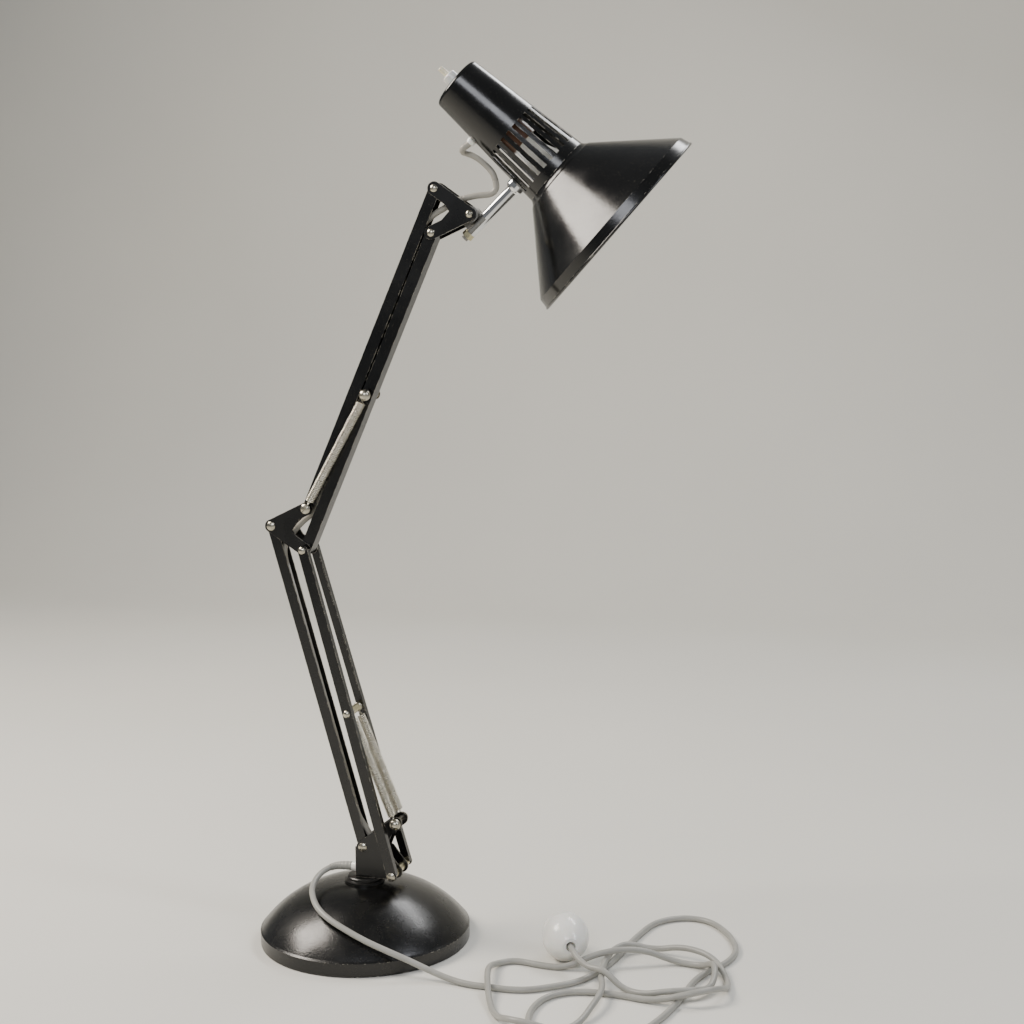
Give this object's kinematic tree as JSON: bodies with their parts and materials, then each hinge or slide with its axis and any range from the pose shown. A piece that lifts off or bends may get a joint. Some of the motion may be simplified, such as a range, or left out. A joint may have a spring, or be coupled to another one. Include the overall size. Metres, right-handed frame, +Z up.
{
  "type": "architect desk lamp",
  "caption": "Spring-balanced desk lamp with a weighted dome base, two parallelogram arms, a tilting swivelling shade with cooling slots, and a mains cord with plug.",
  "frame": {"origin": "centre of the underside of the round base, on the table", "axes": "+Z up; the arms lie in the XZ plane and reach towards +X; -Y is the side with the slotted screw heads"},
  "size_m": [0.5262, 0.3511, 0.9339],
  "materials": {
    "black_enamel": "gloss stove enamel, slight orange peel",
    "cast_iron": "as cast, inside the cover",
    "felt": "thin felt",
    "plated_steel": "zinc plated, slightly yellowed",
    "spring_steel": "bright drawn wire",
    "chrome": "polished plate",
    "die_cast": "grey die casting",
    "cream_plastic": "yellowed nylon",
    "white_plastic": "moulded, slightly aged",
    "bakelite": "brown moulding",
    "brass": "bright",
    "clear_glass": "frosted envelope",
    "black_aluminium": "spun, gloss black outside and white inside",
    "black_plastic": "moulded ring",
    "grey_pvc": "grey flexible cord sheath"
  },
  "bodies": {
    "base": {"base_cover": "black_enamel", "base_weight": "cast_iron", "base_pad": "felt", "pivot_bush": "plated_steel", "hub_collar": "black_plastic", "mains_cord": "grey_pvc", "cord_coil": "grey_pvc", "plug_body": "white_plastic", "plug_blades": "brass"},
    "turning_bracket": {"swivel_pin": "plated_steel", "base_bracket": "black_enamel", "rear_foot_pin": "plated_steel", "front_foot_pin": "plated_steel", "front_pin_spacers": "cream_plastic", "lower_spring_pin": "plated_steel", "cord_ferrule": "white_plastic", "lead_foot": "grey_pvc"},
    "lower_rear_link": {"rear_channel": "black_enamel", "lead_lower": "grey_pvc"},
    "lower_front_link": {"front_bar_near": "black_enamel", "front_bar_far": "black_enamel", "middle_pin": "plated_steel", "middle_spacers": "cream_plastic"},
    "lower_springs": {"lower_spring_near": "spring_steel", "lower_spring_far": "spring_steel"},
    "elbow": {"elbow_plate_near": "black_enamel", "elbow_plate_far": "black_enamel", "elbow_rear_pin": "plated_steel", "elbow_front_pin": "plated_steel", "elbow_screw": "plated_steel", "lead_elbow_low": "grey_pvc", "lead_elbow_high": "grey_pvc"},
    "upper_rear_link": {"upper_bar_rear": "black_enamel", "lead_upper": "grey_pvc"},
    "upper_front_link": {"upper_bar_front": "black_enamel", "upper_spring_pin": "plated_steel"},
    "upper_springs": {"upper_spring_near": "spring_steel", "upper_spring_far": "spring_steel"},
    "upper_spring_ends": {"upper_spring_hooks": "spring_steel"},
    "head_bracket": {"head_plate_near": "black_enamel", "head_plate_far": "black_enamel", "head_top_pin": "plated_steel", "head_low_pin": "plated_steel", "tilt_bolt": "plated_steel", "lead_fork": "grey_pvc"},
    "tilt_knuckle": {"knuckle": "die_cast", "stem_nut": "plated_steel", "lead_loop_low": "grey_pvc"},
    "head": {"stem_tube": "chrome", "stem_flange": "chrome", "fixing_nut": "plated_steel", "lamp_housing": "black_enamel", "shade": "black_aluminium", "lampholder": "bakelite", "bulb_cap": "brass", "bulb": "clear_glass", "switch_collar": "white_plastic", "lead_bush": "white_plastic", "lead_loop_high": "grey_pvc"},
    "button": {"push_button": "cream_plastic"}
  },
  "joints": [
    {"name": "base_swivel", "type": "hinge", "parent": "base", "child": "turning_bracket", "pos_m": [0, 0, 0.071], "axis": [0, 0, 1], "range_deg": [-75, 75], "deforming": ["mains_cord"]},
    {"name": "lower_arm", "type": "hinge", "parent": "turning_bracket", "child": "lower_rear_link", "pos_m": [0.002, 0, 0.105], "axis": [0, 1, 0], "range_deg": [-18, 45], "deforming": ["lead_foot"]},
    {"name": "lower_front_pivot", "type": "hinge", "parent": "turning_bracket", "child": "lower_front_link", "pos_m": [0.04, 0, 0.08], "axis": [0, 1, 0], "range_deg": [-19, 46]},
    {"name": "lower_spring_swing", "type": "hinge", "parent": "turning_bracket", "child": "lower_springs", "pos_m": [0.0405, 0, 0.134], "axis": [0, 1, 0], "range_deg": [-26, 63], "deforming": ["lower_spring_near", "lower_spring_far"]},
    {"name": "elbow_level", "type": "hinge", "parent": "lower_rear_link", "child": "elbow", "pos_m": [-0.09554, 0, 0.45672], "axis": [0, 1, 0], "range_deg": [-46, 19], "deforming": ["lead_elbow_low"]},
    {"name": "upper_arm", "type": "hinge", "parent": "elbow", "child": "upper_rear_link", "pos_m": [-0.05354, 0, 0.47673], "axis": [0, 1, 0], "range_deg": [-1.5, 65], "deforming": ["lead_elbow_high"]},
    {"name": "upper_front_pivot", "type": "hinge", "parent": "elbow", "child": "upper_front_link", "pos_m": [-0.05754, 0, 0.43173], "axis": [0, 1, 0], "range_deg": [-2.5, 66]},
    {"name": "upper_spring_swing", "type": "hinge", "parent": "elbow", "child": "upper_springs", "pos_m": [-0.05354, 0, 0.47673], "axis": [0, 1, 0], "range_deg": [-2.5, 75], "deforming": ["upper_spring_near", "upper_spring_far"]},
    {"name": "upper_spring_stretch", "type": "slide", "parent": "upper_springs", "child": "upper_spring_ends", "axis": [0.4958, 0, 0.8684], "range_m": [-0.002, 0.0435], "deforming": ["upper_spring_hooks"]},
    {"name": "head_level", "type": "hinge", "parent": "upper_rear_link", "child": "head_bracket", "pos_m": [0.09375, 0, 0.81068], "axis": [0, 1, 0], "range_deg": [-66, 2.5], "deforming": ["lead_fork"]},
    {"name": "head_tilt", "type": "hinge", "parent": "head_bracket", "child": "tilt_knuckle", "pos_m": [0.13125, 0, 0.78368], "axis": [0, -1, 0], "range_deg": [-40, 55], "deforming": ["lead_loop_low"]},
    {"name": "head_swivel", "type": "hinge", "parent": "tilt_knuckle", "child": "head", "pos_m": [0.13945, 0, 0.77493], "axis": [0.7298, 0, 0.6836], "range_deg": [-80, 60], "deforming": ["lead_loop_high"]},
    {"name": "switch_press", "type": "slide", "parent": "head", "child": "button", "axis": [0.7269, 0.1731, -0.6645], "range_m": [0, 0.003], "stiffness_N_per_m": 400}
  ],
  "couplings": [
    {"joint": "lower_spring_swing", "follows": "lower_arm", "ratio": 1.38},
    {"joint": "upper_spring_swing", "follows": "upper_arm", "ratio": 1.14},
    {"joint": "upper_spring_stretch", "follows": "upper_arm", "m_per_rad": 0.037242},
    {"joint": "lower_front_pivot", "follows": "lower_arm", "ratio": 1},
    {"joint": "elbow_level", "follows": "lower_arm", "ratio": -1},
    {"joint": "upper_front_pivot", "follows": "upper_arm", "ratio": 1},
    {"joint": "head_level", "follows": "upper_arm", "ratio": -1}
  ]
}
